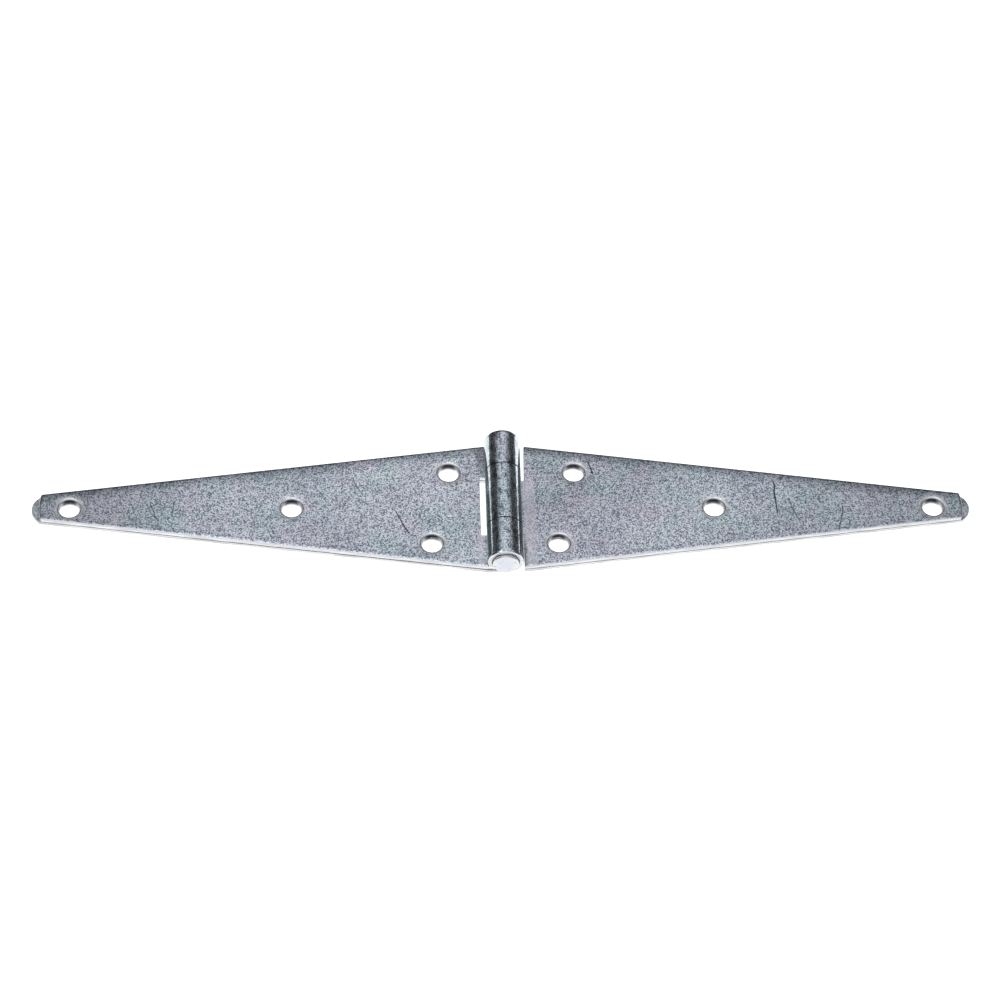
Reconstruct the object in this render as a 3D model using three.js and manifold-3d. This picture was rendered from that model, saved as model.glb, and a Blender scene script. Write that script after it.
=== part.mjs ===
// A heavy strap hinge for gates and shed doors: two long tapered leaves joined by a pin.
// Each leaf is one strip of sheet steel folded double round the pin, so that it has two layers
// lying on each other and the fold itself is the knuckle.
//
// Frame, in millimetres: the pin runs along Y, the leaves lie along -X and +X, and their flat backs,
// which are screwed to the gate and the post, lie on Z = 0. The origin is on that plane, right
// under the middle of the pin.

import * as THREE from "three";
import { mergeVertices } from "three/addons/utils/BufferGeometryUtils.js";
import Module from "manifold-3d";

const wasm = await Module();
wasm.setup();

// ---------------------------------------------------------------- driving dimensions

const LEAF_LENGTH = 152.4; // from the pin's axis to the rounded tip: a 6 inch hinge
const SHEET = 1.5; // thickness of the sheet steel
const LAYER_GAP = 0.2; // between the two layers of a leaf
const PIN_R = 4.25;
const PIN_CLEARANCE = 0.15; // all round the pin, inside a knuckle
const BARREL_HALF_LENGTH = 24.6;
const PIN_STAND_OUT = 1.0; // the pin's ends stand this far out of the barrel
const WIDE_END_HALF_WIDTH = 24.35; // half the leaf's width beside the barrel, at TAPER_START
const TAPER_END_HALF_WIDTH = 4.95; // half the leaf's width where its rounded tip starts
const TIP_SHOULDER = 0.3; // the rounded tip starts this far inside the tapered edges
const ROOT_BEND_R = 0.4; // inside radius of the tight crease where a knuckle rises from the leaf
const NECK_ANGLE = (-48 * Math.PI) / 180; // a knuckle's bore is round down to here, under its crease
const NECK_BEVEL = 0.45; // and from there the strip's inside drops to the gap between the layers
const SCREW_HOLE_R = 3.175; // quarter inch holes
const SCREW_HOLE_RIM = 0.5; // the holes' edges are rounded off this much at the front
const KNUCKLE_GAP = 0.24; // between neighbouring knuckles

// Places along the pin
const MIDDLE_KNUCKLE_LOW = -10.5;
const MIDDLE_KNUCKLE_HIGH = 11.2;
const RELIEF = 1.1; // the cut-outs run this much past the middle knuckle's ends, beside the crease

// Places along a leaf, as distances from the pin's axis
const TAPER_START = 6.8; // from here the leaf's edges run straight to its rounded tip
const INNER_EDGE_HIGH = 7.3; // the swinging leaf's wide end, cut a little askew, at the +Y side
const INNER_EDGE_LOW = 6.2; // on the -Y side it is straight and close to the knuckle
const WINDOW_EDGE = 7.5; // far edge of the fixed leaf's window for the middle knuckle
const UPPER_LAYER_END = 149.9; // the upper layer stops short of the lower one's rounded tip
const TIP_START = 150.0; // where the lower layer's rounded tip starts
const TIP_HOLE = 140.2;
const MIDDLE_HOLE = 68.6;
const NEAR_HOLE = 17.5; // the two holes by the knuckles are staggered
const FAR_HOLE = 23.4;
const SIDE_HOLE_Y = 14.2; // they lie this far to either side of the row
const HOLE_ROW_Y = -0.6; // the whole hole pattern sits a little off the leaf's middle

// ---------------------------------------------------------------- sizes that follow from them

const KNUCKLE_INNER_R = PIN_R + PIN_CLEARANCE;
const KNUCKLE_OUTER_R = KNUCKLE_INNER_R + SHEET;
const AXIS_Z = KNUCKLE_OUTER_R; // the barrel's back is flush with the leaves' backs
const LEAF_THICKNESS = 2 * SHEET + LAYER_GAP;
const BARREL_TOP = 2 * KNUCKLE_OUTER_R;
const CUT = 1; // how far a cutting body runs past what it cuts
const BITE = 0.1; // how far a relief cut runs into the knuckle beside it

// The crease is an arc that touches the knuckle's outside and the leaf's front face.
const CREASE_Z = LEAF_THICKNESS + ROOT_BEND_R;
const CREASE_X = Math.sqrt((KNUCKLE_OUTER_R + ROOT_BEND_R) ** 2 - (AXIS_Z - CREASE_Z) ** 2);
const CREASE_ANGLE = Math.atan2(CREASE_Z - AXIS_Z, CREASE_X);

const KNUCKLE_STEPS = 56;
const CREASE_STEPS = 6;
const TIP_STEPS = 14;
const HOLE_SIDES = 32;
const PIN_SIDES = 56;

// ---------------------------------------------------------------- helpers

// Points of an arc, both ends included; angles in radians.
function arc(x, y, radius, start, end, steps) {
  return Array.from({ length: steps + 1 }, (_, i) => {
    const angle = start + ((end - start) * i) / steps;
    return new THREE.Vector2(x + radius * Math.cos(angle), y + radius * Math.sin(angle));
  });
}

// An arc through (x, -half), (x + rise, 0) and (x, half).
function bulge(x, half, rise, steps) {
  const radius = (half ** 2 + rise ** 2) / (2 * rise);
  const angle = Math.asin(half / radius);
  return arc(x + rise - radius, 0, radius, -angle, angle, steps);
}

function point(x, y) {
  return new THREE.Vector2(x, y);
}

// The outline, drawn in X and Y, made solid from one height to another.
function uprightPrism(points, low, high) {
  const shape = new THREE.Shape(points);
  return new THREE.ExtrudeGeometry(shape, { depth: high - low, bevelEnabled: false }).translate(0, 0, low);
}

// The outline, drawn in X and Z, made solid along the pin, from -half to +half.
function lyingPrism(points, half) {
  const shape = new THREE.Shape(points);
  return new THREE.ExtrudeGeometry(shape, { depth: 2 * half, bevelEnabled: false })
    .rotateX(Math.PI / 2)
    .translate(0, half, 0);
}

function boxBetween(low, high) {
  const size = high.map((value, i) => value - low[i]);
  return new THREE.BoxGeometry(...size).translate(...high.map((value, i) => (value + low[i]) / 2));
}

function toSolid(geometry) {
  const bare = geometry.clone();
  bare.deleteAttribute("normal");
  bare.deleteAttribute("uv");
  const merged = mergeVertices(bare, 1e-4);
  return new wasm.Manifold(
    new wasm.Mesh({
      numProp: 3,
      vertProperties: merged.getAttribute("position").array,
      triVerts: new Uint32Array(merged.index.array),
    }),
  );
}

function toGeometry(solid) {
  const mesh = solid.getMesh();
  const geometry = new THREE.BufferGeometry();
  geometry.setAttribute("position", new THREE.BufferAttribute(new Float32Array(mesh.vertProperties), 3));
  geometry.setIndex(new THREE.BufferAttribute(new Uint32Array(mesh.triVerts), 1));
  geometry.computeVertexNormals();
  return geometry;
}

// ---------------------------------------------------------------- a leaf

// Side view of a folded strip, for a leaf that points along +X: along the back, round the pin and
// out again over the crease as the upper layer; then the same way back on the strip's inside. The
// strip is pressed closed round the pin, so that its inside stays round well below the crease.
function foldedStrip() {
  const creaseStart = CREASE_ANGLE + Math.PI;
  const flat = 1.5 * Math.PI;
  const outside = [
    point(LEAF_LENGTH + CUT, 0),
    ...arc(0, AXIS_Z, KNUCKLE_OUTER_R, -Math.PI / 2, CREASE_ANGLE - 2 * Math.PI, KNUCKLE_STEPS),
    ...arc(CREASE_X, CREASE_Z, ROOT_BEND_R, creaseStart, flat, CREASE_STEPS).slice(1),
    point(LEAF_LENGTH + CUT, LEAF_THICKNESS),
  ];
  const inside = [
    point(LEAF_LENGTH + CUT, SHEET + LAYER_GAP),
    point(KNUCKLE_INNER_R * Math.cos(NECK_ANGLE) + NECK_BEVEL, SHEET + LAYER_GAP),
    ...arc(0, AXIS_Z, KNUCKLE_INNER_R, NECK_ANGLE, 1.5 * Math.PI, KNUCKLE_STEPS),
    point(LEAF_LENGTH + CUT, SHEET),
  ];
  return [...outside, ...inside];
}

// Plan view: straight across the barrel, tapering along the leaf, and rounded at the tip.
function leafOutline() {
  const back = -KNUCKLE_OUTER_R - CUT;
  return [
    point(back, -BARREL_HALF_LENGTH),
    point(KNUCKLE_OUTER_R, -BARREL_HALF_LENGTH),
    point(TAPER_START, -WIDE_END_HALF_WIDTH),
    point(TIP_START, -TAPER_END_HALF_WIDTH),
    ...bulge(TIP_START, TAPER_END_HALF_WIDTH - TIP_SHOULDER, LEAF_LENGTH - TIP_START, TIP_STEPS),
    point(TIP_START, TAPER_END_HALF_WIDTH),
    point(TAPER_START, WIDE_END_HALF_WIDTH),
    point(KNUCKLE_OUTER_R, BARREL_HALF_LENGTH),
    point(back, BARREL_HALF_LENGTH),
  ];
}

// What is cut off the upper layer's end, which is nearly square with a slight crown.
function upperLayerEndCut() {
  const beyond = LEAF_LENGTH + 2 * CUT;
  const half = TAPER_END_HALF_WIDTH + CUT;
  const crown = 0.6;
  const outline = [
    ...bulge(UPPER_LAYER_END - crown, half, crown, TIP_STEPS),
    point(beyond, half),
    point(beyond, -half),
  ];
  return uprightPrism(outline, SHEET + LAYER_GAP / 2, LEAF_THICKNESS + CUT);
}

// A screw hole's cutting body, upright at the origin, widening at the leaf's front face.
function screwHoleCut() {
  const flare = SCREW_HOLE_RIM / 2;
  const rimStart = LEAF_THICKNESS - SCREW_HOLE_RIM;
  const profile = [
    point(0, -CUT),
    point(SCREW_HOLE_R, -CUT),
    point(SCREW_HOLE_R, rimStart),
    point(SCREW_HOLE_R + flare / 2, rimStart + flare),
    point(SCREW_HOLE_R + SCREW_HOLE_RIM, LEAF_THICKNESS),
    point(SCREW_HOLE_R + SCREW_HOLE_RIM + flare, LEAF_THICKNESS + flare),
    point(0, LEAF_THICKNESS + flare),
  ];
  return new THREE.LatheGeometry(profile, HOLE_SIDES).rotateX(Math.PI / 2);
}

// Leaf without its knuckle cut-outs, pointing along side * X. side is -1 or +1.
// Seen from the front, each leaf is the other one turned half round, apart from the row's offset.
function blankLeaf(side) {
  let leaf = toSolid(lyingPrism(foldedStrip(), BARREL_HALF_LENGTH + CUT))
    .intersect(toSolid(uprightPrism(leafOutline(), -CUT, BARREL_TOP + CUT)))
    .subtract(toSolid(upperLayerEndCut()));
  const holes = [
    [TIP_HOLE, 0],
    [MIDDLE_HOLE, 0],
    [NEAR_HOLE, -side * SIDE_HOLE_Y],
    [FAR_HOLE, side * SIDE_HOLE_Y],
  ];
  for (const [x, y] of holes) {
    leaf = leaf.subtract(toSolid(screwHoleCut().translate(x, y + HOLE_ROW_Y, 0)));
  }
  return side > 0 ? leaf : leaf.mirror([1, 0, 0]);
}

// The leaf on -X holds the pin in its two outer knuckles. A window between them lets the other
// leaf's knuckle through, and runs on a little beside the crease as a relief.
function fixedLeaf() {
  const low = MIDDLE_KNUCKLE_LOW - KNUCKLE_GAP;
  const high = MIDDLE_KNUCKLE_HIGH + KNUCKLE_GAP;
  const window = boxBetween([-WINDOW_EDGE, low, -CUT], [KNUCKLE_OUTER_R + CUT, high, BARREL_TOP + CUT]);
  const relief = boxBetween(
    [-WINDOW_EDGE, low - RELIEF, -CUT],
    [-KNUCKLE_OUTER_R + BITE, high, LEAF_THICKNESS + ROOT_BEND_R],
  );
  return blankLeaf(-1).subtract(toSolid(window)).subtract(toSolid(relief));
}

// The swinging leaf's inner edge at a place along the pin.
function innerEdgeAt(y) {
  if (y < 0) {
    return INNER_EDGE_LOW;
  }
  return TAPER_START + ((INNER_EDGE_HIGH - TAPER_START) * y) / WIDE_END_HALF_WIDTH;
}

// Cuts away everything from one x to the swinging leaf's inner edge, between two places along the pin.
function cornerCut(from, low, high, top) {
  const outline = [
    point(from, low),
    point(innerEdgeAt(low), low),
    point(innerEdgeAt(high), high),
    point(from, high),
  ];
  return toSolid(uprightPrism(outline, -CUT, top));
}

// The leaf on +X swings on its one middle knuckle. Beside that its wide end stops short of the
// barrel, clear of the other leaf's knuckles, and the gap runs on a little beside the crease.
function swingingLeaf() {
  const end = BARREL_HALF_LENGTH + CUT;
  const back = -KNUCKLE_OUTER_R - CUT;
  const reliefTop = LEAF_THICKNESS + ROOT_BEND_R;
  return blankLeaf(1)
    .subtract(cornerCut(back, MIDDLE_KNUCKLE_HIGH, end, BARREL_TOP + CUT))
    .subtract(cornerCut(back, -end, MIDDLE_KNUCKLE_LOW, BARREL_TOP + CUT))
    .subtract(cornerCut(KNUCKLE_OUTER_R - BITE, MIDDLE_KNUCKLE_HIGH - RELIEF, end, reliefTop))
    .subtract(cornerCut(KNUCKLE_OUTER_R - BITE, -end, MIDDLE_KNUCKLE_LOW, reliefTop));
}

// ---------------------------------------------------------------- the pin

// A plain round pin, tight in the fixed leaf's knuckles, with its edges just broken at both ends.
function pinGeometry() {
  const half = BARREL_HALF_LENGTH + PIN_STAND_OUT;
  const chamfer = 0.3;
  const profile = [
    point(0, -half),
    point(PIN_R - chamfer, -half),
    point(PIN_R, -half + chamfer),
    point(PIN_R, half - chamfer),
    point(PIN_R - chamfer, half),
    point(0, half),
  ];
  return new THREE.LatheGeometry(profile, PIN_SIDES);
}

// ---------------------------------------------------------------- the assembly

function zincPlate(tone) {
  return new THREE.MeshStandardMaterial({ color: tone, roughness: 0.42, metalness: 1.0 });
}

function named(name, geometry, material) {
  const mesh = new THREE.Mesh(geometry, material);
  mesh.name = name;
  return mesh;
}

const hinge = new THREE.Group();
hinge.add(named("fixed_leaf", toGeometry(fixedLeaf()), zincPlate(0x9aa0a8)));
hinge.add(named("swinging_leaf", toGeometry(swingingLeaf()), zincPlate(0x9ba1a9)));

const pin = named("hinge_pin", pinGeometry(), zincPlate(0xc4c8cc));
pin.position.set(0, 0, AXIS_Z);
hinge.add(pin);

export default hinge;
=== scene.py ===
"""Looks of a heavy zinc-plated strap hinge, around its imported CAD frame.

Each leaf is remade as what it is: one strip of sheet steel, blanked out flat with rolled-over edges,
then folded round the pin. The strip is drawn flat, as s (mm along the strip, measured on its outside)
and y (mm along the pin), and fold() bends it. The depth into the sheet is measured from its outside.
"""

import math
from functools import partial

import bmesh
import bpy
import numpy as np
from mathutils import Matrix, Vector
from mathutils.geometry import delaunay_2d_cdt


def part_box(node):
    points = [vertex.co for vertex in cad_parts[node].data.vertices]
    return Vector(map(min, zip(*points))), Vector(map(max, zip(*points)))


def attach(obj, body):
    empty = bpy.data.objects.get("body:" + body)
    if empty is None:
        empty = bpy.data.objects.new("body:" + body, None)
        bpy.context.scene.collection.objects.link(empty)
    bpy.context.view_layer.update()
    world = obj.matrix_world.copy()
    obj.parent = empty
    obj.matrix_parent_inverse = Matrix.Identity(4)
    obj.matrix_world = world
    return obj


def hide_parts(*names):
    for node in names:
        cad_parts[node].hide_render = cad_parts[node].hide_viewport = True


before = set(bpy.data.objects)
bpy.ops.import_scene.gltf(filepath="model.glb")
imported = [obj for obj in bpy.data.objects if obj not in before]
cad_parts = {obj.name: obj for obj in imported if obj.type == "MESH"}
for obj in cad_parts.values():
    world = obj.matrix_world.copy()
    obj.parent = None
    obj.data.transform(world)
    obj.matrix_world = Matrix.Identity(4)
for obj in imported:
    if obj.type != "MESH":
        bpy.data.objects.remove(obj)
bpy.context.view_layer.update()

MM = 0.001

# ---------------------------------------------------------------- sizes, in millimetres

fixed_low, fixed_high = (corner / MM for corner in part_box("fixed_leaf"))
swing_low, swing_high = (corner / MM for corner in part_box("swinging_leaf"))
pin_low, pin_high = (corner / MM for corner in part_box("hinge_pin"))

LEAF_LENGTH = swing_high.x
KNUCKLE_OUTER_R = swing_high.z / 2
BARREL_HALF_LENGTH = fixed_high.y
AXIS_Z = KNUCKLE_OUTER_R
PIN_R = (pin_high.x - pin_low.x) / 2
PIN_HALF_LENGTH = pin_high.y
SHEET = 1.5
LAYER_GAP = 0.2
UPPER_LAYER_Z = SHEET + LAYER_GAP
LEAF_THICKNESS = UPPER_LAYER_Z + SHEET
ROOT_BEND_R = 0.4
NECK_ANGLE = math.radians(-48)
NECK_BEVEL = 0.45
WIDE_END_HALF_WIDTH = 24.35
TAPER_END_HALF_WIDTH = 4.95
TIP_SHOULDER = 0.3
TIP_START = 150.0
UPPER_LAYER_END = 149.9
UPPER_END_CROWN = 0.5
TAPER_START = 6.8
INNER_EDGE_HIGH = 7.3
INNER_EDGE_LOW = 6.2
WINDOW_EDGE = 7.5
MIDDLE_KNUCKLE_LOW = -10.5
MIDDLE_KNUCKLE_HIGH = 11.2
KNUCKLE_GAP = 0.24
RELIEF = 1.1
RELIEF_X = KNUCKLE_OUTER_R - 0.1
SCREW_HOLE_R = 3.175
# Each screw hole: its distance from the pin, how far it is off the row, and to which side.
HOLE_ROW_Y = -0.6
HOLES = ((140.2, 0.0, 0), (68.6, 0.0, 0), (17.5, 14.2, -1), (23.4, 14.2, 1))

# The crease where a knuckle rises from its leaf.
CREASE_Z = LEAF_THICKNESS + ROOT_BEND_R
CREASE_X = math.sqrt((KNUCKLE_OUTER_R + ROOT_BEND_R) ** 2 - (AXIS_Z - CREASE_Z) ** 2)
CREASE_ANGLE = math.atan2(CREASE_Z - AXIS_Z, CREASE_X)

# Along the strip: the lower layer is s < 0, then the knuckle, the crease, and the upper layer.
KNUCKLE_TURN = 1.5 * math.pi - CREASE_ANGLE
CREASE_TURN = 0.5 * math.pi - CREASE_ANGLE
CREASE_MEAN_R = ROOT_BEND_R + SHEET / 2
S_CREASE = KNUCKLE_OUTER_R * KNUCKLE_TURN
S_UPPER = S_CREASE + CREASE_MEAN_R * CREASE_TURN

# Edges of blanked sheet: rolled over on the outside, barely broken on the inside. They are rolled
# widely along the leaf and round its holes, and tightly beside the knuckles.
ROLL_WIDTH = 1.0
ROLL_DEPTH = 0.38
TIGHT_ROLL = 0.16
INNER_BREAK = 0.06
ROLL_BAND = 1.15
ROLL_STEPS = 7

# The meshes' steps: on the flats, round the knuckle and round the crease.
COARSE = 1.7
FINE = 0.62
CREASE_STEP = 0.22
CREASE_ROWS = 13
HOLE_SIDES = 56
ARC_STEPS = 4
SMALLEST_ROUNDING = 0.02


# ---------------------------------------------------------------- the folded strip


def neck_path():
    """The strip's inside under the crease: round the bore, then out between the layers. Returns how
    far along it each corner is, from 0 to 1, and the corners' x and z."""
    bore = KNUCKLE_OUTER_R - SHEET
    angles = np.linspace(CREASE_ANGLE, NECK_ANGLE, 7)
    x = np.append(bore * np.cos(angles), [bore * math.cos(NECK_ANGLE) + NECK_BEVEL, CREASE_X])
    z = np.append(AXIS_Z + bore * np.sin(angles), [UPPER_LAYER_Z, UPPER_LAYER_Z])
    along = np.append(0, np.cumsum(np.hypot(np.diff(x), np.diff(z))))
    return along / along[-1], x, z


NECK_ALONG, NECK_X, NECK_Z = neck_path()


def fold(s, y, depth, side):
    """Points of the folded strip, in metres, for the leaf on side * X."""
    s, y, depth = (np.asarray(v, float) for v in (s, y, depth))
    turned = -math.pi / 2 - s / KNUCKLE_OUTER_R
    knuckle_x = (KNUCKLE_OUTER_R - depth) * np.cos(turned)
    knuckle_z = AXIS_Z + (KNUCKLE_OUTER_R - depth) * np.sin(turned)
    bent = CREASE_ANGLE + math.pi + (s - S_CREASE) / CREASE_MEAN_R
    through = depth / SHEET
    share = np.clip((s - S_CREASE) / (S_UPPER - S_CREASE), 0, 1)
    inner_x = np.interp(share, NECK_ALONG, NECK_X)
    inner_z = np.interp(share, NECK_ALONG, NECK_Z)
    crease_x = (1 - through) * (CREASE_X + ROOT_BEND_R * np.cos(bent)) + through * inner_x
    crease_z = (1 - through) * (CREASE_Z + ROOT_BEND_R * np.sin(bent)) + through * inner_z
    upper_x = CREASE_X + s - S_UPPER
    zones = [s <= 0, s <= S_CREASE, s <= S_UPPER]
    x = np.select(zones, [-s, knuckle_x, crease_x], upper_x)
    z = np.select(zones, [depth, knuckle_z, crease_z], LEAF_THICKNESS - depth)
    return np.stack([side * x, y, z], axis=1) * MM


def lower(x):
    """Place along the strip of the lower layer's point at x."""
    return -x


def upper(x):
    return S_UPPER + x - CREASE_X


def half_width(x):
    share = (x - TAPER_START) / (TIP_START - TAPER_START)
    return WIDE_END_HALF_WIDTH + share * (TAPER_END_HALF_WIDTH - WIDE_END_HALF_WIDTH)


def crown(layer, x, half, rise, steps=12):
    """Corners of a crowned end of a layer, from y = -half to +half."""
    radius = (half**2 + rise**2) / (2 * rise)
    reach = math.asin(half / radius)
    angles = np.linspace(-reach, reach, steps + 1)
    return [(layer(x + rise - radius + radius * math.cos(a)), radius * math.sin(a), 0.0) for a in angles]


def upper_end():
    """The upper layer's nearly square end, with small round corners."""
    half = half_width(UPPER_LAYER_END - UPPER_END_CROWN)
    points = crown(upper, UPPER_LAYER_END - UPPER_END_CROWN, half, UPPER_END_CROWN)
    return [(*points[0][:2], 0.7), *points[1:-1], (*points[-1][:2], 0.7)]


def lower_tip():
    """The lower layer's rounded tip, from y = +half down to -half, with its two small shoulders."""
    half = TAPER_END_HALF_WIDTH - TIP_SHOULDER
    arc = crown(lower, TIP_START, half, LEAF_LENGTH - TIP_START, steps=18)[::-1]
    shoulder = (lower(TIP_START), TAPER_END_HALF_WIDTH, 0.12)
    return [shoulder, *arc, (shoulder[0], -TAPER_END_HALF_WIDTH, 0.12)]


def fixed_outline():
    """Outline of the fixed leaf's strip, the material on its left, as (s, y, corner radius)."""
    barrel = BARREL_HALF_LENGTH
    right_side = [
        (lower(TAPER_START), -WIDE_END_HALF_WIDTH, 0.0),
        (lower(KNUCKLE_OUTER_R), -barrel, 0.0),
        (0.0, -barrel, 0.0),
        (S_CREASE, -barrel, 0.0),
        (S_UPPER, -WIDE_END_HALF_WIDTH, 0.0),
    ]
    left_side = [(s, -y, radius) for s, y, radius in reversed(right_side)]
    return [*lower_tip(), *right_side, *upper_end(), *left_side]


def window():
    """The fixed leaf's window for the middle knuckle, the material on its left."""
    low = MIDDLE_KNUCKLE_LOW - KNUCKLE_GAP
    high = MIDDLE_KNUCKLE_HIGH + KNUCKLE_GAP
    near, far = lower(WINDOW_EDGE), upper(WINDOW_EDGE)
    return [
        (near, high, 0.4),
        (0.0, high, 0.0),
        (S_CREASE, high, 0.0),
        (far, high, 0.4),
        (far, low - RELIEF, 0.4),
        (S_CREASE, low - RELIEF, 0.2),
        (S_CREASE, low, 0.15),
        (0.0, low, 0.0),
        (lower(RELIEF_X), low, 0.15),
        (lower(RELIEF_X), low - RELIEF, 0.2),
        (near, low - RELIEF, 0.4),
    ]


def inner_edge_at(y):
    """The swinging leaf's inner edge: straight and close to the knuckle at -Y, askew at +Y."""
    if y < 0:
        return INNER_EDGE_LOW
    return TAPER_START + (INNER_EDGE_HIGH - TAPER_START) * y / WIDE_END_HALF_WIDTH


def swinging_outline():
    """Outline of the swinging leaf's strip, the material on its left."""
    low, high = MIDDLE_KNUCKLE_LOW, MIDDLE_KNUCKLE_HIGH
    notch = high - RELIEF
    wide = WIDE_END_HALF_WIDTH
    return [
        *lower_tip(),
        (lower(INNER_EDGE_LOW), -wide, 0.25),
        (lower(inner_edge_at(low)), low, 0.3),
        (0.0, low, 0.0),
        (S_CREASE, low, 0.0),
        (upper(inner_edge_at(low)), low, 0.3),
        (upper(INNER_EDGE_LOW), -wide, 0.25),
        *upper_end(),
        (upper(INNER_EDGE_HIGH), wide, 0.25),
        (upper(inner_edge_at(notch)), notch, 0.3),
        (S_CREASE, notch, 0.25),
        (S_CREASE, high, 0.15),
        (0.0, high, 0.0),
        (lower(RELIEF_X), high, 0.15),
        (lower(RELIEF_X), notch, 0.25),
        (lower(inner_edge_at(notch)), notch, 0.3),
        (lower(INNER_EDGE_HIGH), wide, 0.25),
    ]


# ---------------------------------------------------------------- loops and their inset copies


def left_of(direction):
    return np.stack([-direction[:, 1], direction[:, 0]], axis=1)


def corner_arc(at, behind, normal_behind, turn, rounding):
    """Points of the arc that rounds a corner, where the outline turns by turn radians."""
    sign = math.copysign(1.0, turn)
    start = at - rounding * math.tan(abs(turn) / 2) * behind
    centre = start + sign * rounding * normal_behind
    spoke_s, spoke_y = start - centre
    angles = turn * np.arange(ARC_STEPS + 1) / ARC_STEPS
    along_s = spoke_s * np.cos(angles) - spoke_y * np.sin(angles)
    along_y = spoke_s * np.sin(angles) + spoke_y * np.cos(angles)
    return centre + np.stack([along_s, along_y], axis=1)


def step_at(s):
    """How far apart an outline's points are at s, so that it follows the bends."""
    if 0 < s < S_CREASE:
        return FINE
    if S_CREASE < s < S_UPPER:
        return CREASE_STEP
    return COARSE


def inset_corners(corners, inset):
    """The closed outline through (s, y, radius) corners, moved inset to its left, as points.
    It has the same number of points whatever the inset."""
    at = np.array([corner[:2] for corner in corners], float)
    ahead = np.roll(at, -1, axis=0) - at
    lengths = np.linalg.norm(ahead, axis=1)
    ahead /= lengths[:, None]
    behind = np.roll(ahead, 1, axis=0)
    normal_behind, normal_ahead = left_of(behind), left_of(ahead)
    facing = 1 + (normal_behind * normal_ahead).sum(axis=1)
    moved = at + inset * (normal_behind + normal_ahead) / facing[:, None]
    turns = np.arctan2(
        behind[:, 0] * ahead[:, 1] - behind[:, 1] * ahead[:, 0],
        (behind * ahead).sum(axis=1),
    )
    stretches = []
    for i, (_, _, radius) in enumerate(corners):
        if radius == 0:
            stretches.append(moved[i : i + 1])
            continue
        sign = math.copysign(1.0, turns[i])
        rounding = max(radius - sign * inset, SMALLEST_ROUNDING)
        stretches.append(corner_arc(moved[i], behind[i], normal_behind[i], turns[i], rounding))
    points = []
    for i, stretch in enumerate(stretches):
        points.extend(stretch)
        following = stretches[(i + 1) % len(stretches)][0]
        middle = (at[i, 0] + at[(i + 1) % len(at), 0]) / 2
        count = max(1, math.ceil(lengths[i] / step_at(middle)))
        for k in range(1, count):
            points.append(stretch[-1] + (following - stretch[-1]) * k / count)
    return np.array(points)


def inset_circle(centre, radius, inset):
    """A hole's outline, the material on its left, moved inset into the material."""
    angles = -2 * math.pi * np.arange(HOLE_SIDES) / HOLE_SIDES
    return np.array(centre) + (radius + inset) * np.stack([np.cos(angles), np.sin(angles)], axis=1)


def smooth(value, low, high):
    """A soft step from 0 at low to 1 at high."""
    share = np.clip((value - low) / (high - low), 0, 1)
    return share * share * (3 - 2 * share)


def softness_at(points):
    """How widely an edge is rolled: 1 along the leaf and at the barrel's ends, 0 by the knuckles."""
    s, y = points.T
    reach = np.where(s < 0, -s, np.where(s > S_UPPER, s - S_UPPER + CREASE_X, 0.0))
    return np.maximum(smooth(reach, 8.0, 10.5), smooth(np.abs(y), 23.2, 24.2))


def rolled(width, depth, shade):
    """A rolled-over edge's rows from the outside in: inset, depth, wear, sheared, and how far
    the painted shade on the wall has come in."""
    rows = []
    for k in range(ROLL_STEPS + 1):
        angle = 0.5 * math.pi * k / ROLL_STEPS
        sheared = 1.0 if k == ROLL_STEPS else 0.0
        painted_shade = shade * max(0.0, (k - ROLL_STEPS + 2) / 2)
        inset = width * (1 - math.sin(angle))
        rows.append((inset, depth * (1 - math.cos(angle)), k / ROLL_STEPS, sheared, painted_shade))
    return rows


# A screw hole's front edge: a soft shoulder, and then a steep flare down to the plain hole.
# The rows are as rolled() gives them; the last column is how far the painted shade on the wall has come
# in.
FLARE = (
    (1.00, 0.000, 0.0, 0.0, 0.0),
    (0.85, 0.012, 0.2, 0.0, 0.0),
    (0.72, 0.045, 0.5, 0.0, 0.0),
    (0.60, 0.100, 0.8, 0.0, 0.0),
    (0.50, 0.180, 1.0, 0.0, 0.0),
    (0.42, 0.290, 1.0, 0.5, 0.3),
    (0.32, 0.480, 1.0, 1.0, 0.7),
    (0.20, 0.720, 1.0, 1.0, 1.0),
    (0.08, 0.920, 1.0, 1.0, 1.0),
    (0.00, 1.050, 1.0, 1.0, 1.0),
)


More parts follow.
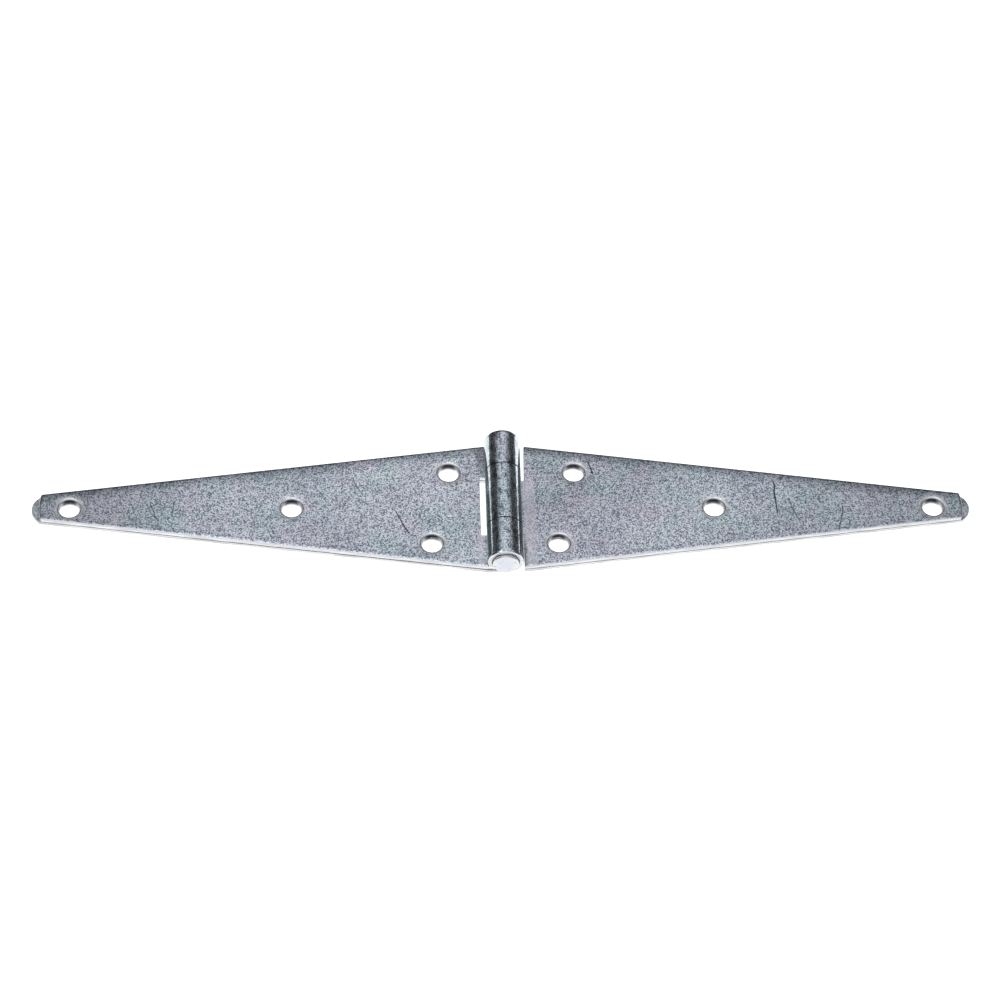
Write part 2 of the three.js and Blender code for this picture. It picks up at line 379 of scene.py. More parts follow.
class Cut:
    """A closed cut through the sheet. make_loop(inset) gives its loop, moved into the material, and
    profile the rows of its edge, which are as rolled() gives them."""

    def __init__(self, make_loop, profile, is_hole):
        self.make_loop = make_loop
        self.profile = profile
        self.is_hole = is_hole
        self.softness = np.ones(len(make_loop(0.0))) if is_hole else softness_at(make_loop(0.0))

    def loop(self, inset):
        tight = self.make_loop(inset * TIGHT_ROLL)
        return tight + self.softness[:, None] * (self.make_loop(inset) - tight)

    def painted_shade(self):
        """How much painted shade the sheared wall gets: on a hole's +Y side, and in the gaps between the
        knuckles.
        """
        base = self.make_loop(0.0)
        if self.is_hole:
            height = base[:, 1] - base[:, 1].mean()
            return smooth(height / height.max(), 0.5, 0.95)
        return np.where((base[:, 0] > 0) & (base[:, 0] < S_CREASE) & (self.softness < 0.5), 1.0, 0.0)

    def rows(self):
        """Rows across the blanked edge, from the outside to the inside, as points, depths and values."""
        dark = self.painted_shade()
        worn = 0.08 + 0.92 * self.softness
        yield self.loop(ROLL_BAND), 0.0, {}
        for inset, depth, wear, sheared, shade in self.profile:
            row_depth = depth * (0.2 + 0.8 * self.softness)
            values = {"wear": worn * wear, "sheared": sheared, "dark": shade * dark}
            yield self.loop(inset), row_depth, values
        yield self.loop(0.0), row_depth + 0.15, values
        # The inside rows are painted darker too: painted shade on the sheet's inside, which faces the
        # other layer and the pin.
        inner = {"wear": worn, "sheared": 1.0, "dark": np.maximum(dark, 0.04)}
        yield self.loop(0.0), SHEET - INNER_BREAK, inner
        yield self.loop(INNER_BREAK), SHEET, {"sheared": 1.0, "dark": 0.3}


# ---------------------------------------------------------------- meshing


def inside(points, loops):
    """Which points have the material around them, by the even-odd rule over all the loops."""
    crossings = np.zeros(len(points), int)
    for loop in loops:
        a, b = loop, np.roll(loop, -1, axis=0)
        above_a = a[None, :, 1] > points[:, None, 1]
        above_b = b[None, :, 1] > points[:, None, 1]
        with np.errstate(divide="ignore", invalid="ignore"):
            at = a[:, 0] + (points[:, None, 1] - a[:, 1]) / (b[:, 1] - a[:, 1]) * (b[:, 0] - a[:, 0])
        crossings += ((above_a != above_b) & (points[:, None, 0] < at)).sum(axis=1)
    return crossings % 2 == 1


def distance_to(points, loops):
    nearest = np.full(len(points), np.inf)
    for loop in loops:
        a, b = loop, np.roll(loop, -1, axis=0)
        along = b - a
        offset = points[:, None, :] - a[None]
        share = (offset * along).sum(axis=2) / np.maximum((along**2).sum(axis=1), 1e-12)
        gap = offset - np.clip(share, 0, 1)[..., None] * along
        nearest = np.minimum(nearest, np.sqrt((gap**2).sum(axis=2)).min(axis=1))
    return nearest


def lattice(coarse, fine_across):
    """Points that fill the strip's box: rows across the bends, and an even lattice on the flats."""
    low, high = lower(LEAF_LENGTH), upper(LEAF_LENGTH)
    bends = np.concatenate(
        [
            np.linspace(0, S_CREASE, math.ceil(S_CREASE / FINE) + 1),
            np.linspace(S_CREASE, S_UPPER, CREASE_ROWS)[1:],
        ]
    )
    across = np.arange(-BARREL_HALF_LENGTH, BARREL_HALF_LENGTH, fine_across)
    points = [np.stack(np.meshgrid(bends, across), axis=-1).reshape(-1, 2)]
    for start, stop in ((low, -0.6 * coarse), (S_UPPER + 0.6 * coarse, high)):
        along = np.arange(start, stop, coarse)
        across = np.arange(-BARREL_HALF_LENGTH, BARREL_HALF_LENGTH, coarse)
        flat = np.stack(np.meshgrid(along, across), axis=-1)
        flat[1::2, :, 0] += coarse / 2
        points.append(flat.reshape(-1, 2))
    return np.concatenate(points)


def fill(loops, coarse, fine_across, creases=()):
    """Triangulates the material between the loops. creases are closed lines that it keeps, and their
    points come right after the loops' points. Returns points and triangles."""
    kept = [*loops, *creases]
    grid = lattice(coarse, fine_across)
    grid = grid[inside(grid, loops)]
    room = np.where((grid[:, 0] > -0.1) & (grid[:, 0] < S_UPPER + 0.1), 0.28, 0.4 * coarse)
    grid = grid[distance_to(grid, kept) > room]
    points = np.concatenate([*kept, grid])
    edges = []
    start = 0
    for loop in kept:
        count = len(loop)
        edges += [(start + k, start + (k + 1) % count) for k in range(count)]
        start += count
    result = delaunay_2d_cdt([Vector(p) for p in points], edges, [], 0, 1e-6)
    placed = np.array([tuple(p) for p in result[0]])
    triangles = np.array(result[2])
    triangles = triangles[inside(placed[triangles].mean(axis=1), loops)]
    return placed, triangles


def pressed_mark():
    """A small plain rectangle pressed into the upper layer: its loops, and how deep each lies."""
    middle, y, half_length, half_height = upper(17.25), -0.8, 1.35, 3.9
    rows = ((0.0, 0.0), (0.14, 0.05), (0.44, 0.05), (0.58, 0.0))
    loops = []
    for inset, _ in rows:
        a, b = half_length - inset, half_height - inset
        corners = [(-a, -b), (a, -b), (a, b), (-a, b)]
        loops.append(inset_corners([(middle + s, y + t, 0.45 - 0.5 * inset) for s, t in corners], 0))
    return loops, [depth for _, depth in rows]


def leaf_mesh(name, side, cuts, marked):
    """Builds a leaf as a closed mesh with rolled-over edges, and attributes for their looks; dark is
    painted shade on the walls.
    """
    positions, faces = [], []
    layers = {"wear": [], "sheared": [], "dark": []}

    def add(points, depth, values):
        start = sum(len(block) for block in positions)
        positions.append(fold(points[:, 0], points[:, 1], np.broadcast_to(depth, len(points)), side))
        for layer, blocks in layers.items():
            blocks.append(np.broadcast_to(values.get(layer, 0.0), len(points)))
        return start

    outer_loops, inner_loops = [], []
    for cut in cuts:
        starts = []
        for points, depth, values in cut.rows():
            starts.append(add(points, depth, values))
        outer_loops.append(cut.loop(ROLL_BAND))
        inner_loops.append(cut.loop(INNER_BREAK))
        count = len(outer_loops[-1])
        for upper_row, lower_row in zip(starts, starts[1:]):
            for k in range(count):
                following = (k + 1) % count
                faces.append((upper_row + k, upper_row + following, lower_row + following, lower_row + k))

    creases, crease_depths = pressed_mark() if marked else ([], [])
    for loops, depth, coarse, fine_across, kept, kept_depths in (
        (outer_loops, 0.0, COARSE, 1.25, creases, crease_depths),
        (inner_loops, SHEET, 3 * COARSE, 3.0, [], []),
    ):
        points, triangles = fill(loops, coarse, fine_across, kept)
        depths = np.full(len(points), depth)
        worn = np.zeros(len(points))
        for loop, loop_depth in zip(kept, kept_depths):
            gap = np.linalg.norm(points[:, None] - loop[None], axis=2).min(axis=1)
            depths[gap < 1e-4] = loop_depth
            worn[gap < 1e-4] = 1.0 if loop_depth > 0 else 0.0
        start = add(points, depths, {"wear": worn})
        faces.extend(tuple(int(v) + start for v in triangle) for triangle in triangles)

    mesh = bpy.data.meshes.new(name)
    mesh.from_pydata(np.concatenate(positions).tolist(), [], faces)
    for layer, blocks in layers.items():
        attribute = mesh.attributes.new(layer, "FLOAT", "POINT")
        attribute.data.foreach_set("value", np.concatenate(blocks).astype(np.float32))
    return finished(name, mesh)


def finished(name, mesh):
    """Joins a mesh's seams, turns its faces outwards, and makes it an object with smooth shading."""
    work = bmesh.new()
    work.from_mesh(mesh)
    bmesh.ops.remove_doubles(work, verts=work.verts, dist=2e-6)
    bmesh.ops.dissolve_degenerate(work, edges=work.edges, dist=1e-7)
    bmesh.ops.recalc_face_normals(work, faces=work.faces)
    work.to_mesh(mesh)
    work.free()
    mesh.shade_smooth()
    piece = bpy.data.objects.new(name, mesh)
    bpy.context.scene.collection.objects.link(piece)
    weighted = piece.modifiers.new("weighted_normals", "WEIGHTED_NORMAL")
    weighted.weight = 70
    return piece


def screw_holes(side):
    """The screw holes' cuts through both layers of a leaf."""
    cuts = []
    for x, offset, sign in HOLES:
        y = HOLE_ROW_Y + offset * sign * side
        for layer, profile in ((lower, rolled(0.4, 0.12, 0.15)), (upper, FLARE)):
            centre = (layer(x), y)
            cuts.append(Cut(partial(inset_circle, centre, SCREW_HOLE_R), profile, is_hole=True))
    return cuts


def outline_cut(corners):
    """A cut along an outline or a window, with widely rolled edges."""
    return Cut(partial(inset_corners, corners), rolled(ROLL_WIDTH, ROLL_DEPTH, 1.0), is_hole=False)


def make_pin():
    """A plain rod with broken edges and very slightly domed, sheared ends."""
    half = PIN_HALF_LENGTH
    profile = [(0.0, half), (1.4, half - 0.005), (2.8, half - 0.025), (3.5, half - 0.05)]
    for k in range(1, 7):
        angle = 0.5 * math.pi * k / 6
        profile.append((PIN_R - 0.35 + 0.35 * math.sin(angle), half - 0.4 + 0.35 * math.cos(angle)))
    upper_half = list(profile)
    profile += [(PIN_R, y) for y in np.linspace(half - 2, 2 - half, 24)]
    profile += [(r, -y) for r, y in reversed(upper_half)]
    sides = 72
    points, faces = [], []
    for r, y in profile:
        for k in range(sides if r > 0 else 1):
            angle = 2 * math.pi * k / sides
            points.append((r * math.cos(angle) * MM, y * MM, (AXIS_Z + r * math.sin(angle)) * MM))
    starts = np.cumsum([0] + [sides if r > 0 else 1 for r, _ in profile])
    for row, (r, _) in enumerate(profile[:-1]):
        a, b = int(starts[row]), int(starts[row + 1])
        for k in range(sides):
            following = (k + 1) % sides
            if r == 0:
                faces.append((a, b + k, b + following))
            elif profile[row + 1][0] == 0:
                faces.append((a + k, a + following, b))
            else:
                faces.append((a + k, a + following, b + following, b + k))
    mesh = bpy.data.meshes.new("hinge_pin_rod")
    mesh.from_pydata(points, [], faces)
    return finished("hinge_pin_rod", mesh)


# ---------------------------------------------------------------- zinc plate


class Shader:
    """Builds a material's nodes with short calls."""

    def __init__(self, name):
        self.material = bpy.data.materials.new(name)
        self.material.use_nodes = True
        self.tree = self.material.node_tree
        self.tree.nodes.clear()

    @classmethod
    def on_tree(cls, tree):
        """A builder for a node tree that isn't a material's, such as the world's."""
        builder = cls.__new__(cls)
        builder.tree = tree
        tree.nodes.clear()
        return builder

    def node(self, kind, inputs=None, **settings):
        node = self.tree.nodes.new(kind)
        for key, value in settings.items():
            setattr(node, key, value)
        for key, value in (inputs or {}).items():
            if isinstance(value, bpy.types.NodeSocket):
                self.tree.links.new(value, node.inputs[key])
            else:
                node.inputs[key].default_value = value
        return node

    def math(self, operation, a, b=0.0):
        return self.node("ShaderNodeMath", {0: a, 1: b}, operation=operation).outputs[0]

    def noise(self, place, size_mm, detail=2.0, roughness=0.5, distortion=0.0):
        """Noise whose blobs are about size_mm across."""
        inputs = {
            "Vector": place,
            "Scale": 0.5 / (size_mm * MM),
            "Detail": detail,
            "Roughness": roughness,
            "Distortion": distortion,
        }
        return self.node("ShaderNodeTexNoise", inputs).outputs["Fac"]

    def remap(self, value, low, high, to_low=0.0, to_high=1.0):
        inputs = {"Value": value, "From Min": low, "From Max": high, "To Min": to_low, "To Max": to_high}
        node = self.node("ShaderNodeMapRange", inputs, clamp=True, interpolation_type="SMOOTHSTEP")
        return node.outputs["Result"]

    def mix(self, factor, a, b, blend="MIX"):
        node = self.node("ShaderNodeMix", data_type="RGBA", blend_type=blend)
        for index, value in ((0, factor), (6, a), (7, b)):
            if isinstance(value, bpy.types.NodeSocket):
                self.tree.links.new(value, node.inputs[index])
            else:
                node.inputs[index].default_value = value
        return node.outputs[2]

    def mix_value(self, factor, a, b):
        """a where factor is 0, and b where it is 1."""
        return self.node("ShaderNodeMix", {0: factor, 2: a, 3: b}, data_type="FLOAT").outputs[0]

    def grey(self, value):
        return self.node("ShaderNodeCombineColor", {0: value, 1: value, 2: value}).outputs[0]

    def attribute(self, name):
        node = self.node("ShaderNodeAttribute", attribute_name=name, attribute_type="GEOMETRY")
        return node.outputs["Fac"]

    def ramp(self, value, stops):
        """A colour ramp with (position, colour) stops."""
        node = self.node("ShaderNodeValToRGB", {0: value})
        elements = node.color_ramp.elements
        while len(elements) < len(stops):
            elements.new(0.5)
        for element, (position, colour) in zip(elements, stops):
            element.position = position
            element.color = colour
        return node.outputs[0]


def linear(red, green, blue):
    """A colour given as it looks on a screen, 0 to 255, in the renderer's linear numbers."""
    return (*(((v / 255 + 0.055) / 1.055) ** 2.4 for v in (red, green, blue)), 1.0)


# Hairline scratches across each leaf, by its side: x and y of the middle, half length, how far the
# line leans and bends, all in mm, and how dark it is.
HAIRLINES = {
    1: (
        (88.8, 3.4, 8.0, -0.03, 0.003, 1.0),
        (94.4, -1.6, 5.2, -0.34, 0.012, 0.7),
        (110.0, -4.8, 5.6, 0.22, -0.014, 0.8),
        (28.9, 15.4, 3.1, -0.28, 0.02, 1.0),
        (47.0, -5.6, 2.2, -0.9, 0.0, 0.6),
    ),
    -1: (
        (-113.1, -2.2, 3.8, -0.34, 0.01, 0.75),
        (-106.7, -1.0, 3.4, 0.14, -0.03, 0.55),
        (-32.9, -6.8, 5.2, -0.48, 0.01, 0.9),
        (-47.5, 8.0, 2.4, -0.45, 0.0, 0.7),
        (-28.5, 6.0, 1.8, -0.5, 0.0, 0.6),
        (-51.0, 1.5, 3.4, 0.5, 0.01, 0.5),
    ),
}


def hairlines(sh, place, axes, side):
    """Dark hairlines that run across the leaf, each broken up a little along its length."""
    wander = sh.math("MULTIPLY", sh.math("SUBTRACT", sh.noise(place, 1.6, detail=2.0), 0.5), 0.9 * MM)
    total = 0.0
    for x, y, half, lean, bend, strength in HAIRLINES[side]:
        along = sh.math("SUBTRACT", axes[1], y * MM)
        curve = sh.math("MULTIPLY", sh.math("MULTIPLY", along, along), bend / MM)
        middle = sh.math("ADD", sh.math("MULTIPLY", along, lean), curve)
        across = sh.math("SUBTRACT", sh.math("SUBTRACT", axes[0], x * MM), middle)
        gap = sh.math("ABSOLUTE", sh.math("ADD", across, wander))
        line = sh.remap(gap, 0.10 * MM, 0.34 * MM, strength, 0.0)
        ends = sh.remap(sh.math("ABSOLUTE", along), 0.7 * half * MM, half * MM, 1.0, 0.0)
        total = sh.math("MAXIMUM", total, sh.math("MULTIPLY", line, ends))
    front = sh.remap(axes[2], 2.5 * MM, 2.8 * MM)
    return sh.math("MULTIPLY", total, front)


# The smooth strip beside the knuckles on each leaf: its reach from the pin and its two ends along it.
STRIPS = {1: (10.2, -23.5, 10.0), -1: (8.6, -23.5, -11.5)}


def burnished(sh, axes, medium, side):
    """Where the folding tool left the front face smooth, in a strip beside the knuckles."""
    reach, low, high = STRIPS[side]
    distance = sh.math("ABSOLUTE", axes[0])
    ragged = sh.math("MULTIPLY", sh.math("SUBTRACT", medium, 0.5), 1.6 * MM)
    near = sh.remap(sh.math("ADD", distance, ragged), (reach - 0.5) * MM, (reach + 0.5) * MM, 1.0, 0.0)
    beside = sh.remap(distance, 6.2 * MM, 6.8 * MM)
    above = sh.remap(sh.math("ADD", axes[1], ragged), (low - 1) * MM, low * MM)
    below = sh.remap(sh.math("ADD", axes[1], ragged), high * MM, (high + 1.5) * MM, 1.0, 0.0)
    front = sh.remap(axes[2], 2.5 * MM, 2.9 * MM)
    mask = sh.math("MULTIPLY", near, beside)
    for part in (above, below, front):
        mask = sh.math("MULTIPLY", mask, part)
    return mask


def near_screw_holes(sh, place, side):
    """How close a point is to a screw hole, from 0 to 1: the front face is drawn down there, and its
    colour gets painted highlights there.
    """
    flat = sh.node("ShaderNodeVectorMath", {0: place, 1: (1, 1, 0)}, operation="MULTIPLY").outputs[0]
    total = 0.0
    for x, offset, sign in HOLES:
        centre = (side * x * MM, (HOLE_ROW_Y + offset * sign * side) * MM, 0)
        gap = sh.node("ShaderNodeVectorMath", {0: flat, 1: centre}, operation="DISTANCE").outputs["Value"]
        near = sh.remap(gap, 3.7 * MM, 6.4 * MM, 1.0, 0.0)
        total = sh.math("MAXIMUM", total, sh.math("MULTIPLY", near, near))
    return total


# A darkened corner by the barrel on each leaf, beside the crease: painted shade on the swinging leaf (1),
# a darker, faintly violet patch on the fixed leaf (-1). Its reach from the pin, its two ends along the
# pin, all in mm, its colour, and how strong it is.
DARK_CORNERS = {1: (7.0, -28.0, -10.0, (46, 52, 58), 0.75), -1: (8.4, 10.0, 28.0, (104, 98, 104), 0.50)}

# How bright each leaf is by the barrel, at its middle and at its tip.
TONES = {1: (0.93, 1.05, 0.74), -1: (1.10, 1.06, 0.68)}


def darkened_corner(sh, axes, medium, side):
    """How much one corner by the barrel is darkened: painted shade on the swinging leaf, a darker patch
    on the fixed leaf.
    """
    reach, low, high, _, strength = DARK_CORNERS[side]
    ragged = sh.math("MULTIPLY", sh.math("SUBTRACT", medium, 0.5), 1.2 * MM)
    distance = sh.math("ADD", sh.math("ABSOLUTE", axes[0]), ragged)
    mask = sh.remap(distance, (reach - 0.7) * MM, (reach + 0.7) * MM, strength, 0.0)
    mask = sh.math("MULTIPLY", mask, sh.remap(axes[1], low * MM, (low + 8) * MM))
    mask = sh.math("MULTIPLY", mask, sh.remap(axes[1], (high - 8) * MM, high * MM, 1.0, 0.0))
    return sh.math("MULTIPLY", mask, sh.remap(axes[2], 4.2 * MM, 3.6 * MM))


def toned(sh, axes, side):
    """Slow changes of brightness: along the leaf, and painted shade that darkens it beside its long
    edges.
    """
    by_barrel, middle, at_tip = TONES[side]
    distance = sh.math("ABSOLUTE", axes[0])
    along = sh.math(
        "MULTIPLY",
        sh.remap(distance, 20 * MM, 65 * MM, by_barrel, middle),
        sh.remap(distance, 75 * MM, 150 * MM, 1.0, at_tip / middle),
    )
    taper = (WIDE_END_HALF_WIDTH - TAPER_END_HALF_WIDTH) / (TIP_START - TAPER_START)
    narrowing = sh.math("MULTIPLY", sh.math("SUBTRACT", distance, TAPER_START * MM), taper)
    half = sh.math("SUBTRACT", WIDE_END_HALF_WIDTH * MM, narrowing)
    # Painted shade along both long edges, wider and darker by the far one.
    shade_by_far_edge = sh.remap(sh.math("SUBTRACT", half, axes[1]), 0.0, 5.5 * MM, 0.50, 1.0)
    shade_by_near_edge = sh.remap(sh.math("ADD", half, axes[1]), 0.0, 3.0 * MM, 0.76, 1.0)
    return sh.math("MULTIPLY", along, sh.math("MULTIPLY", shade_by_far_edge, shade_by_near_edge))


class LeafPoint:
    """What the layers of a leaf's material share: where a point is, its noises and its edge values."""

    def __init__(self, sh):
        self.place = sh.node("ShaderNodeTexCoord").outputs["Object"]
        self.axes = sh.node("ShaderNodeSeparateXYZ", {0: self.place}).outputs
        self.knuckle = sh.remap(self.axes[2], 3.5 * MM, 5.0 * MM)
        self.fine = sh.noise(self.place, 0.21, detail=1.0, roughness=0.6)
        self.medium = sh.noise(self.place, 0.65, detail=2.0, roughness=0.6)
        self.patches = sh.noise(self.place, 7.0, detail=3.0, roughness=0.6, distortion=0.4)
        self.wear = sh.attribute("wear")
        self.sheared = sh.attribute("sheared")
        # dark: painted shade on the sheared walls, from the mesh.
        self.dark = sh.attribute("dark")


def grained(sh, point):
    """Grain: blue-grey pits between light, faintly violet crystals."""
    grain = sh.math("ADD", sh.math("MULTIPLY", point.fine, 0.8), sh.math("MULTIPLY", point.medium, 0.2))
    crystal = sh.remap(grain, 0.385, 0.600)
    pit_tints = ((0.34, (104, 126, 138)), (0.50, (110, 122, 140)), (0.66, (120, 122, 144)))
    crystal_tints = ((0.34, (232, 243, 246)), (0.50, (238, 241, 248)), (0.66, (244, 241, 250)))
    pitted = sh.ramp(point.patches, [(at, linear(*tint)) for at, tint in pit_tints])
    bright = sh.ramp(point.patches, [(at, linear(*tint)) for at, tint in crystal_tints])
    return sh.mix(crystal, pitted, bright)


def shaded(sh, point, side, colour):
    """Slow tones and soft clouds on the leaf, and a mottle on the knuckle, which has smooth flanks."""
    knuckle = point.knuckle
    cloud = sh.remap(sh.noise(point.place, 20.0, detail=2.0, roughness=0.5), 0.32, 0.68, 0.93, 1.07)
    drawn_out = {0: point.place, 1: (1.0, 0.5, 1.0)}
    along_pin = sh.node("ShaderNodeVectorMath", drawn_out, operation="MULTIPLY").outputs[0]
    mottle = sh.remap(sh.noise(along_pin, 0.85, detail=3.0, roughness=0.65), 0.39, 0.53, 0.52, 1.30)
    tone = sh.mix_value(knuckle, toned(sh, point.axes, side), mottle)
    colour = sh.mix(1.0, colour, sh.grey(sh.math("MULTIPLY", tone, cloud)), "MULTIPLY")
    colour = sh.mix(sh.math("MULTIPLY", knuckle, 0.8), colour, (0.92, 1.0, 1.0, 1), "MULTIPLY")
    on_flank = sh.remap(sh.math("ABSOLUTE", point.axes[0]), 3.9 * MM, 5.2 * MM)
    flank = sh.math("MULTIPLY", knuckle, on_flank)
    return sh.mix(sh.math("MULTIPLY", flank, 0.85), colour, linear(198, 206, 204))


def with_painted_seam_shade(sh, point, colour):
    """Painted shade in the two seams between the knuckles. It also keeps the plating from being too
    bright.
    """
    half_gap = KNUCKLE_GAP / 2
    for seam in (MIDDLE_KNUCKLE_LOW - half_gap, MIDDLE_KNUCKLE_HIGH + half_gap):
        away = sh.math("ABSOLUTE", sh.math("SUBTRACT", point.axes[1], seam * MM))
        seam_shade = sh.math("MULTIPLY", point.knuckle, sh.remap(away, 0.16 * MM, 0.26 * MM, 0.92, 0.0))
        colour = sh.mix(seam_shade, colour, linear(22, 26, 30))
    brightest = {0: colour, 1: (0.94, 0.94, 0.94)}
    return sh.node("ShaderNodeVectorMath", brightest, operation="MINIMUM").outputs[0]


def edged(sh, point, down, colour):
    """Worn corners and sheared edges, with fine lines along them; painted shade on the walls' dark parts,
    and a near-white painted highlight on the lower layer's walls round the screw holes.
    """
    worn = sh.remap(sh.math("ADD", point.wear, sh.math("MULTIPLY", point.medium, 0.1)), 0.38, 0.72)
    colour = sh.mix(sh.math("MULTIPLY", worn, 0.95), colour, linear(220, 220, 224))
    drawn_out = {0: point.place, 1: (0.06, 0.06, 1.0)}
    lines = sh.node("ShaderNodeVectorMath", drawn_out, operation="MULTIPLY").outputs[0]
    lined = sh.remap(sh.noise(lines, 0.22, detail=2.0), 0.35, 0.65)
    upper_edge = sh.mix(lined, linear(192, 192, 194), linear(224, 224, 226))
    lower_edge = sh.mix(lined, linear(186, 186, 186), linear(222, 222, 222))
    # Painted highlight: round the screw holes the lower layer's sheared wall is painted near-white.
    lower_edge = sh.mix(down, lower_edge, linear(244, 244, 244))
    is_upper = sh.remap(point.axes[2], SHEET * MM, UPPER_LAYER_Z * MM)
    colour = sh.mix(point.sheared, colour, sh.mix(is_upper, lower_edge, upper_edge))
    # Painted shade: the walls' dark parts are painted near-black.
    painted_wall_shade = sh.mix(point.fine, linear(24, 28, 34), linear(56, 60, 68))
    return sh.mix(point.dark, colour, painted_wall_shade)


def plate_relief(sh, point, dish_and_halo, scratch):
    """The plate's slow waves, its grain, and the hollows of its screw holes and scratches, as bumps."""
    heights = (
        (sh.noise(point.place, 14.0, detail=1.0), 0.75),
        (point.patches, 0.07),
        (sh.math("SUBTRACT", 1.0, dish_and_halo), 0.10),
        (point.medium, 0.010),
        (point.fine, 0.006),
        (sh.math("SUBTRACT", 1.0, scratch), 0.03),
    )
    on_face = sh.remap(point.wear, 0.20, 0.50, 1.0, 0.0)
    strength = sh.math("MULTIPLY", on_face, sh.mix_value(point.knuckle, 1.0, 0.15))
    relief = None
    for height, distance in heights:
        inputs = {"Height": height, "Strength": strength, "Distance": distance * MM}
        if relief is not None:
            inputs["Normal"] = relief
        relief = sh.node("ShaderNodeBump", inputs).outputs[0]
    return relief


def metal(sh, colour, rough, relief):
    """Ends a material as bare metal, and returns it."""
    inputs = {"Base Color": colour, "Metallic": 1.0, "Roughness": rough, "Normal": relief}
    surface = sh.node("ShaderNodeBsdfPrincipled", inputs)
    sh.node("ShaderNodeOutputMaterial", {"Surface": surface.outputs[0]})
    return sh.material


def zinc_plate(name, side):
    """Bright zinc over cold-rolled steel: a sharp salt and pepper grain with faint colour casts, glossier
    on the knuckles; smooth sheared edges, painted shade on the screw hole walls, in the seams and along
    the long edges, painted highlights round the screw holes, and a few hairline scratches."""
    sh = Shader(name)
    point = LeafPoint(sh)
    down = near_screw_holes(sh, point.place, side)
    in_front = sh.remap(point.axes[2], UPPER_LAYER_Z * MM, (UPPER_LAYER_Z + 0.4) * MM)
    dish_and_halo = sh.math("MULTIPLY", down, in_front)
    strip = burnished(sh, point.axes, point.medium, side)
    corner_darkening = darkened_corner(sh, point.axes, point.medium, side)
    scratch = hairlines(sh, point.place, point.axes, side)

    colour = shaded(sh, point, side, grained(sh, point))
    colour = with_painted_seam_shade(sh, point, colour)
    # Painted highlight: round each screw hole the front face is painted lighter, a halo of light; the
    # hollow itself is a bump.
    colour = sh.mix(sh.math("MULTIPLY", dish_and_halo, 0.45), colour, linear(232, 226, 228))
    colour = sh.mix(sh.math("MULTIPLY", strip, 0.5), colour, linear(220, 212, 220))
    # Painted shade in the swinging leaf's corner by the barrel; on the fixed leaf a darker, faintly
    # violet patch.
    colour = sh.mix(corner_darkening, colour, linear(*DARK_CORNERS[side][3]))
    colour = sh.mix(sh.math("MULTIPLY", scratch, 0.95), colour, linear(40, 48, 60))
    colour = edged(sh, point, down, colour)

    face_rough = sh.remap(point.medium, 0.3, 0.7, 0.24, 0.36)
    rough = sh.mix_value(point.knuckle, face_rough, 0.13)
    rough = sh.mix_value(strip, rough, 0.22)
    rough = sh.mix_value(point.sheared, rough, 0.42)
    return metal(sh, colour, rough, plate_relief(sh, point, dish_and_halo, scratch))


def pin_zinc():
    """The pin's smooth, bright plating, with faint clouds and a few dark flecks."""
    sh = Shader("zinc_pin")
    place = sh.node("ShaderNodeTexCoord").outputs["Object"]
    clouds = sh.noise(place, 2.4, detail=2.0)
    flecks = sh.remap(sh.noise(place, 0.5, detail=1.0), 0.66, 0.72, 0.0, 0.6)
    colour = sh.mix(sh.remap(clouds, 0.35, 0.65), linear(200, 201, 208), linear(211, 212, 210))
    colour = sh.mix(flecks, colour, linear(150, 154, 166))
    # Inside the knuckles the pin is painted dark: painted shade inside the barrel, seen through the
    # seams.
    along = sh.node("ShaderNodeSeparateXYZ", {0: place}).outputs[1]
    mouth = BARREL_HALF_LENGTH * MM
    barrel_shade = sh.remap(sh.math("ABSOLUTE", along), mouth - 0.3 * MM, mouth, 1.0, 0.0)
    colour = sh.mix(barrel_shade, colour, linear(20, 22, 26))
    rough = sh.remap(clouds, 0.3, 0.7, 0.16, 0.24)
    bump = {"Height": clouds, "Strength": 1.0, "Distance": 0.01 * MM}
    return metal(sh, colour, rough, sh.node("ShaderNodeBump", bump).outputs[0])


# ---------------------------------------------------------------- pieces


fixed_leaf = leaf_mesh(
    "fixed_leaf_sheet",
    -1,
    [outline_cut(fixed_outline()), outline_cut(window()), *screw_holes(-1)],
    marked=True,
)
swinging_leaf = leaf_mesh(
    "swinging_leaf_sheet",
    1,
    [outline_cut(swinging_outline()), *screw_holes(1)],
    marked=False,
)
pin = make_pin()

fixed_zinc = zinc_plate("zinc_sheet_fixed", -1)
swinging_zinc = zinc_plate("zinc_sheet_swinging", 1)
for piece, node, body, slot, material in (
    (fixed_leaf, "fixed_leaf", "fixed_side", "zinc_plated_sheet", fixed_zinc),
    (swinging_leaf, "swinging_leaf", "swinging_side", "zinc_plated_sheet", swinging_zinc),
    (pin, "hinge_pin", "fixed_side", "zinc_plated_pin", pin_zinc()),
):
    piece.data.materials.append(material)
    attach(piece, body)
    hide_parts(node)


# ---------------------------------------------------------------- floor, light and camera


def make_floor():
    """A pale sheet far enough below for the leaf to hang down past the back."""
    reach, height = 6.0, -0.165
    mesh = bpy.data.meshes.new("floor")
    turns = ((-1, -1), (1, -1), (1, 1), (-1, 1))
    corners = [(reach * x, reach * y, height) for x, y in turns]
    mesh.from_pydata(corners, [], [(0, 1, 2, 3)])
    floor = bpy.data.objects.new("floor", mesh)
    bpy.context.scene.collection.objects.link(floor)
    sh = Shader("pale_floor")
    inputs = {
        "Base Color": (0.9, 0.9, 0.9, 1),
        "Roughness": 0.9,
        "Emission Color": (1, 1, 1, 1),
        "Emission Strength": 0.75,
    }
    surface = sh.node("ShaderNodeBsdfPrincipled", inputs)
    sh.node("ShaderNodeOutputMaterial", {"Surface": surface.outputs[0]})
    mesh.materials.append(sh.material)


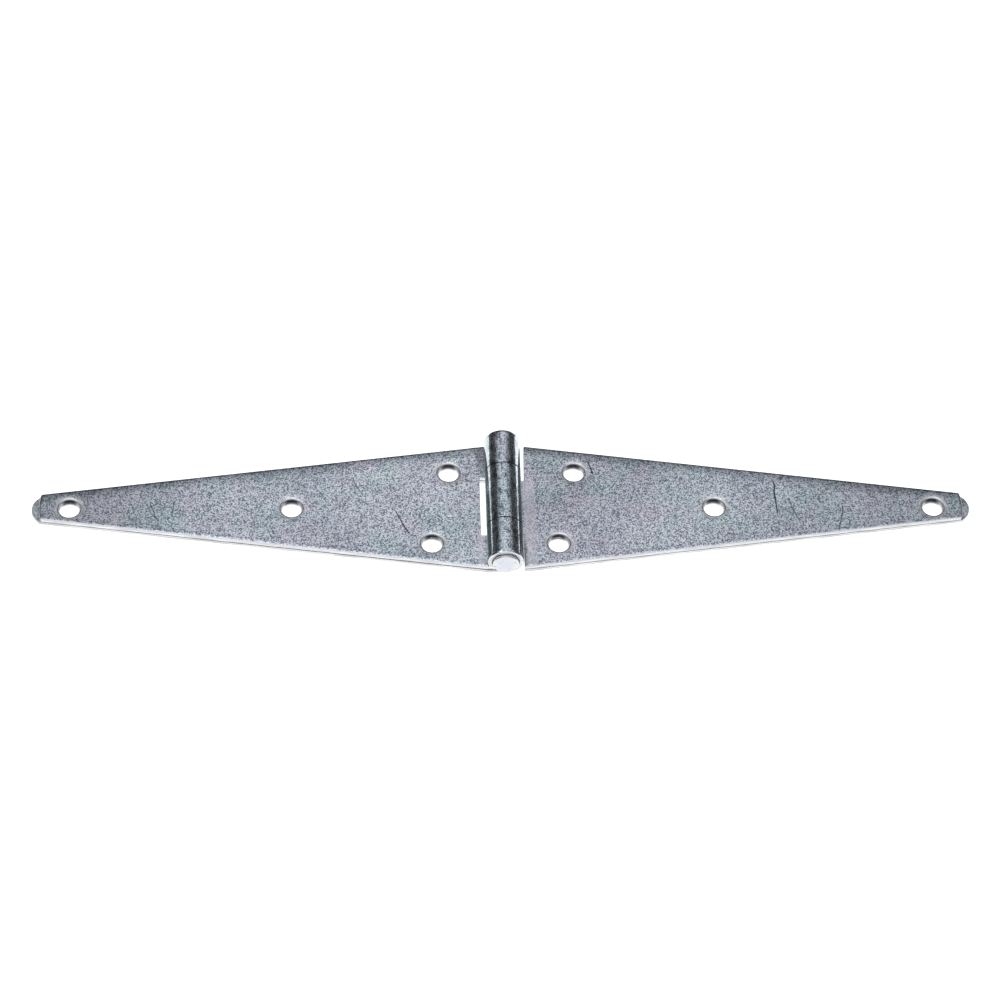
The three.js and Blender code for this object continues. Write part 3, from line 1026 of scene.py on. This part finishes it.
def make_world():
    """A studio with dark walls, a soft light ceiling and a light wall on the camera's side. The camera
    itself sees a plain pale backdrop."""
    world = bpy.data.worlds.new("studio")
    bpy.context.scene.world = world
    world.use_nodes = True
    sh = Shader.on_tree(world.node_tree)
    direction = sh.node("ShaderNodeTexCoord").outputs["Generated"]
    axes = sh.node("ShaderNodeSeparateXYZ", {0: direction}).outputs
    # Brightness by the sine of the height above the horizon.
    dark_levels = ((0.0, 0.05), (0.10, 0.16), (0.20, 0.08), (0.52, 0.075))
    light_levels = ((0.67, 0.36), (0.80, 0.73), (0.93, 0.83), (1.0, 0.87))
    levels = dark_levels + light_levels
    studio = sh.ramp(axes[2], [(at, (0.97 * level, level, 1.04 * level, 1)) for at, level in levels])
    camera_side = sh.remap(axes[1], -0.60, -0.12, 1.0, 0.0)
    studio = sh.mix(camera_side, studio, (0.86, 0.87, 0.88, 1))
    seen = sh.node("ShaderNodeLightPath").outputs["Is Camera Ray"]
    room = sh.node("ShaderNodeBackground", {0: studio}).outputs[0]
    backdrop = sh.node("ShaderNodeBackground", {0: (1, 1, 1, 1), 1: 1.05}).outputs[0]
    mixed = sh.node("ShaderNodeMixShader", {0: seen, 1: room, 2: backdrop}).outputs[0]
    sh.node("ShaderNodeOutputWorld", {0: mixed})


def make_light(name, place, size, power):
    light = bpy.data.lights.new(name, "AREA")
    light.shape = "SQUARE"
    light.size = size
    light.energy = power
    lamp = bpy.data.objects.new(name, light)
    lamp.location = place
    lamp.rotation_mode = "QUATERNION"
    lamp.rotation_quaternion = (-Vector(place)).to_track_quat("-Z", "Y")
    bpy.context.scene.collection.objects.link(lamp)


def make_camera():
    """A long lens, turned and raised round the hinge, rolled, and shifted a little in its own plane."""
    azimuth, elevation, roll = (math.radians(v) for v in (-4.526, 53.324, 3.524))
    distance, right_shift, up_shift = 1.19741, -0.00119, 0.00367
    back = Vector(
        (
            math.sin(azimuth) * math.cos(elevation),
            -math.cos(azimuth) * math.cos(elevation),
            math.sin(elevation),
        )
    )
    level_right = Vector((math.cos(azimuth), math.sin(azimuth), 0))
    level_up = back.cross(level_right)
    right = level_right * math.cos(roll) + level_up * math.sin(roll)
    up = -level_right * math.sin(roll) + level_up * math.cos(roll)
    data = bpy.data.cameras.new("camera")
    data.sensor_width = 36
    data.lens = 132.6
    camera = bpy.data.objects.new("camera", data)
    turned = Matrix((right, up, back)).transposed().to_4x4()
    place = back * distance + level_right * right_shift + level_up * up_shift
    camera.matrix_world = Matrix.Translation(place) @ turned
    bpy.context.scene.collection.objects.link(camera)
    bpy.context.scene.camera = camera


make_floor()
make_world()
make_light("key", (-0.4, -0.1, 1.6), 1.5, 4)
make_camera()

scene = bpy.context.scene
scene.view_settings.view_transform = "Standard"
scene.view_settings.look = "None"
